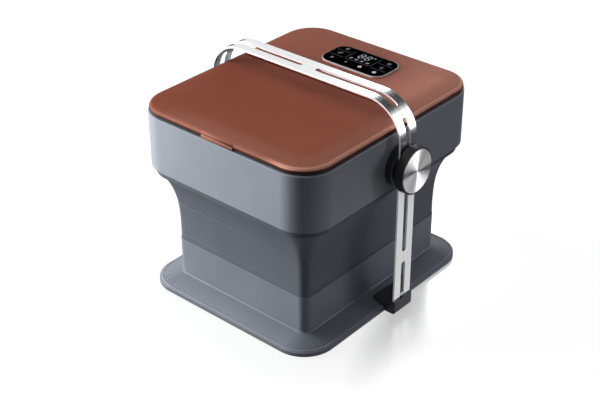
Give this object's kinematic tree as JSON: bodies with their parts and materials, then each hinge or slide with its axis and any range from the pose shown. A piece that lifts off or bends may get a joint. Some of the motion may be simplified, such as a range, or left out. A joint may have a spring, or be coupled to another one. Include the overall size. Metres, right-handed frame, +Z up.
{
  "type": "pedicure foot bath",
  "caption": "Folding foot bath with a silicone wall, leather-look lid, raised touch display and a slotted U-shaped carrying frame clamped by side knobs.",
  "frame": {"origin": "centre of the underside, on the surface that the rubber feet stand on", "axes": "+X to the right along the front edge, +Y to the rear where the display is, +Z up"},
  "size_m": [0.418, 0.408, 0.362],
  "materials": {
    "housing_grey": "satin blue-grey moulding",
    "shell_grey": "satin light blue-grey moulding",
    "inner_grey": "fine matt",
    "roller_plastic": "smooth",
    "silicone": "matt soft silicone",
    "dark_plastic": "matt",
    "black_plastic": "fine matt black",
    "leather_top": "smooth terracotta brown leather look",
    "seal_rubber": "soft black",
    "frame_metal": "fine satin",
    "spun_metal": "spun",
    "steel_parts": "plain",
    "display_glass": "black glass look",
    "board_green": "solder mask",
    "pump_parts": "cast",
    "light_plastic": "natural"
  },
  "bodies": {
    "base": {"base_tub": "housing_grey", "bottom_cover": "dark_plastic", "cover_screws": "steel_parts", "rubber_feet": "seal_rubber", "foot_plate_left": "inner_grey", "foot_plate_right": "inner_grey", "roller_axles": "steel_parts", "suction_grille": "dark_plastic", "temperature_probe": "steel_parts", "pump_housing": "dark_plastic", "pump_motor": "pump_parts", "pump_hose": "light_plastic", "heater_block": "pump_parts", "main_board": "board_green", "power_inlet": "dark_plastic", "silicone_wall": "silicone", "lower_clamp_ring": "dark_plastic", "handle_bar": "frame_metal", "bracket_left": "black_plastic", "bracket_right": "black_plastic", "bracket_screws": "steel_parts"},
    "upper": {"upper_shell": "shell_grey", "upper_liner": "inner_grey", "upper_clamp_ring": "dark_plastic", "rim_rails": "dark_plastic", "deck_frame": "dark_plastic", "rear_deck": "leather_top", "deck_screws": "steel_parts", "panel_bezel": "spun_metal", "panel_glass": "display_glass", "display_board": "board_green", "boss_left": "black_plastic", "boss_right": "black_plastic", "boss_screws": "steel_parts", "stud_left": "steel_parts", "stud_right": "steel_parts", "washer_left": "steel_parts", "washer_right": "steel_parts"},
    "lid_carriage": {"lid_rod": "steel_parts", "lid_shoes": "dark_plastic"},
    "lid": {"lid_flap": "leather_top", "lid_liner": "inner_grey", "lid_seal": "seal_rubber", "lid_tab": "leather_top"},
    "right_knob": {"knob_right": "black_plastic", "knob_cap_right": "spun_metal"},
    "left_knob": {"knob_left": "black_plastic", "knob_cap_left": "spun_metal"},
    "front_left_roller": {"roller_front_left": "roller_plastic"},
    "front_right_roller": {"roller_front_right": "roller_plastic"},
    "rear_left_roller": {"roller_rear_left": "roller_plastic"},
    "rear_right_roller": {"roller_rear_right": "roller_plastic"},
    "impeller": {"pump_impeller": "light_plastic"},
    "stopper": {"drain_plug": "seal_rubber", "drain_seal": "seal_rubber"}
  },
  "joints": [
    {"name": "fold", "type": "slide", "parent": "base", "child": "upper", "axis": [0, 0, -1], "range_m": [0, 0.142], "deforming": ["silicone_wall"]},
    {"name": "lid_draw", "type": "slide", "parent": "upper", "child": "lid_carriage", "axis": [0, -1, 0], "range_m": [0, 0.165]},
    {"name": "lid_tilt", "type": "hinge", "parent": "lid_carriage", "child": "lid", "pos_m": [0, 0.031, 0.31425], "axis": [-1, 0, 0], "range_deg": [0, 20]},
    {"name": "right_knob_turn", "type": "hinge", "parent": "upper", "child": "right_knob", "pos_m": [0.2, 0.002, 0.257], "axis": [1, 0, 0], "range_deg": [0, 360]},
    {"name": "left_knob_turn", "type": "hinge", "parent": "upper", "child": "left_knob", "pos_m": [-0.2, 0.002, 0.257], "axis": [-1, 0, 0], "range_deg": [0, 360]},
    {"name": "front_left_roller_spin", "type": "hinge", "parent": "base", "child": "front_left_roller", "pos_m": [-0.062, -0.089, 0.065], "axis": [1, 0, 0], "continuous": true},
    {"name": "front_right_roller_spin", "type": "hinge", "parent": "base", "child": "front_right_roller", "pos_m": [0.062, -0.089, 0.065], "axis": [1, 0, 0], "continuous": true},
    {"name": "rear_left_roller_spin", "type": "hinge", "parent": "base", "child": "rear_left_roller", "pos_m": [-0.062, 0.031, 0.065], "axis": [1, 0, 0], "continuous": true},
    {"name": "rear_right_roller_spin", "type": "hinge", "parent": "base", "child": "rear_right_roller", "pos_m": [0.062, 0.031, 0.065], "axis": [1, 0, 0], "continuous": true},
    {"name": "impeller_spin", "type": "hinge", "parent": "base", "child": "impeller", "pos_m": [0.06, 0.124, 0.038], "axis": [0, 0, 1], "continuous": true},
    {"name": "stopper_lift", "type": "slide", "parent": "base", "child": "stopper", "axis": [0, 0, 1], "range_m": [0, 0.03]}
  ]
}
